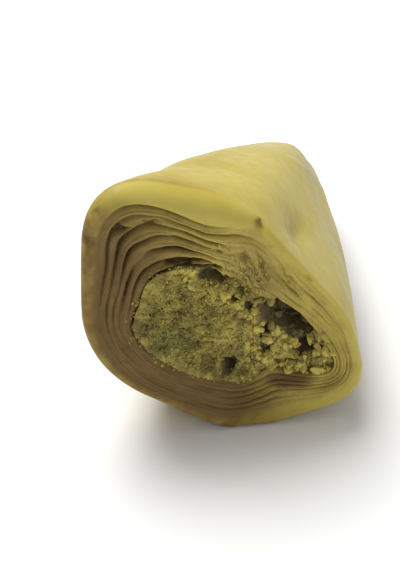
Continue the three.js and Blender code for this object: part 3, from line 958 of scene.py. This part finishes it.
def chips(draw, spots, loose, smallest, largest, brighter, subdivisions):
    """Points and faces of broken chips at places on the front of the core, with their shades."""
    size = smallest + (largest - smallest) * draw.uniform(0, 1, len(spots)) ** 2 * (0.4 + 0.6 * loose)
    size = size * (1 - 0.2 * pale_band(spots))
    shapes, faces = broken_bits(draw, len(spots), subdivisions)
    shapes = shapes * draw.uniform(0.7, 1.5, (len(spots), 1, 3)) * size[:, None, None]
    proud = (0.3 * loose - 0.15) * size + 0.35 * loose * draw.uniform(-1, 1, len(spots))
    deep = np.maximum(core_front(spots) + 0.2 - proud, 0.5 * size)
    shapes = shapes + behind_cut(spots, deep)[:, None]
    # On the loose meal the tones vary more and the crumbs are made paler, partly painted light on the
    # crumbs that stand proud.
    contrast = 0.4 + 0.9 * loose
    tone = meal_tone(spots) + contrast * draw.uniform(-0.5, 0.7, len(spots)) + brighter * loose
    green = 0.6 * meal_green(spots) + 0.5 * draw.uniform(0, 1, len(spots)) ** 3
    # Grains in a hollow take its painted shade.
    shades = {"tone": tone, "green": green, "dark": 0.85 * painted_hollow_shade(spots)}
    return shapes, faces, {key: np.repeat(values, shapes.shape[1]) for key, values in shades.items()}


def scattered_piece(name, shapes, faces, painted, material, slot):
    """Many small bits as one piece."""
    made = painted_object(name, shapes.reshape(-1, 3), faces.reshape(-1, 3).tolist(), painted, material)
    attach(made, "root")


draw = np.random.default_rng(GRAIN_SEED)
spots = grain_spots(draw, FINE_GRAINS, on_pressed=1.0, on_loose=0.5, past_edge=0.4)
fine_grains = chips(draw, *spots, smallest=0.2, largest=0.44, brighter=0.1, subdivisions=2)
scattered_piece("fine_grains", *fine_grains, ground_pistachio, "filling")
spots = grain_spots(draw, COARSE_CRUMBS, on_pressed=0.0, on_loose=1.0, past_edge=0.5)
coarse_crumbs = chips(draw, *spots, smallest=0.35, largest=1.0, brighter=0.5, subdivisions=3)
scattered_piece("coarse_crumbs", *coarse_crumbs, ground_pistachio, "filling")


# Flakes of dough. Above the filling the knife has torn the ends of the sheets, and thin flakes of
# them stick to the cut.
FLAKES = 200
FLAKE_SHAPE = (0.3, 0.25, 0.9)
FLAKE_SEED = 8

draw = np.random.default_rng(FLAKE_SEED)
torn = np.maximum(0, cut_paint["torn"] - 0.25).ravel()
flake_spots = cut_points.reshape(-1, 3)[draw.choice(len(torn), FLAKES, p=torn / torn.sum())]
upright, flake_faces = broken_bits(draw, FLAKES, subdivisions=2)
upright = upright * FLAKE_SHAPE * draw.uniform(0.3, 0.9, (FLAKES, 1, 1))
lean = np.radians(draw.normal(25, 25, (FLAKES, 1)))
flakes = flake_spots[:, None] + np.stack([
    upright[..., 0] * np.cos(lean) - upright[..., 2] * np.sin(lean),
    upright[..., 1],
    upright[..., 0] * np.sin(lean) + upright[..., 2] * np.cos(lean),
], axis=-1)
no_paint = np.zeros(flakes[..., 0].size)
flake_paint = {key: no_paint for key in dough_paint}
flake_paint["cut"] = 1 + no_paint
flake_paint["brown_and_shade"] = np.repeat(draw.uniform(0, 0.6, FLAKES), flakes.shape[1])
scattered_piece("dough_flakes", flakes, flake_faces, flake_paint, baked_dough, "dough")


# The table. A plain pale board, wide enough to fill every view. From here on, sizes are metres.
TABLE_SIZE = 6
TABLE_BELOW = 0.0001
bpy.ops.mesh.primitive_plane_add(size=TABLE_SIZE, location=(0, 0, -TABLE_BELOW))
table = bpy.context.object
table.name = "table"
table_material, table_shade = new_material("pale_board")
finish_material(table_shade, table_shade.node("ShaderNodeBsdfPrincipled", sockets={
    "Base Color": (0.88, 0.88, 0.87, 1),
    "Roughness": 0.7,
}))
table.data.materials.append(table_material)


# The studio. A wide soft light above and a little behind the pastry, a weak one in front, and a pale
# room all round.
ROOM_BRIGHTNESS = 0.35


def soft_light(name, place, aim, size, power):
    data = bpy.data.lights.new(name, "AREA")
    data.size = size
    data.energy = power
    lamp = bpy.data.objects.new(name, data)
    lamp.location = place
    lamp.rotation_euler = (Vector(aim) - Vector(place)).to_track_quat("-Z", "Y").to_euler()
    bpy.context.scene.collection.objects.link(lamp)


centre = (cad_box[0] + cad_box[1]) / 2
soft_light("key", (-0.2, 0.3, 0.75), centre, size=0.6, power=8.6)
soft_light("front", (0.35, -0.8, 0.45), centre, size=0.5, power=1.2)
world = bpy.data.worlds.new("studio")
world.use_nodes = True
world.node_tree.nodes["Background"].inputs["Color"].default_value = (1, 1, 1, 1)
world.node_tree.nodes["Background"].inputs["Strength"].default_value = ROOM_BRIGHTNESS
bpy.context.scene.world = world
bpy.context.scene.view_settings.view_transform = "Standard"


# The camera looks at the cut from slightly left and well above, as the photograph does. It aims a
# little below the middle of the part, through a long lens.
AZIMUTH = np.radians(-9.5)
ELEVATION = np.radians(38)
LENS = 900
DISTANCE = 1.955
BELOW_CENTRE = 0.0115
back = Vector((
    np.sin(AZIMUTH) * np.cos(ELEVATION),
    -np.cos(AZIMUTH) * np.cos(ELEVATION),
    np.sin(ELEVATION),
))
up = Vector((
    -np.sin(AZIMUTH) * np.sin(ELEVATION),
    np.cos(AZIMUTH) * np.sin(ELEVATION),
    np.cos(ELEVATION),
))
camera = bpy.data.objects.new("camera", bpy.data.cameras.new("camera"))
camera.data.lens = LENS
camera.data.clip_start = 0.01
camera.location = centre - up * BELOW_CENTRE + back * DISTANCE
camera.rotation_euler = (-back).to_track_quat("-Z", "Y").to_euler()
bpy.context.scene.collection.objects.link(camera)
bpy.context.scene.camera = camera
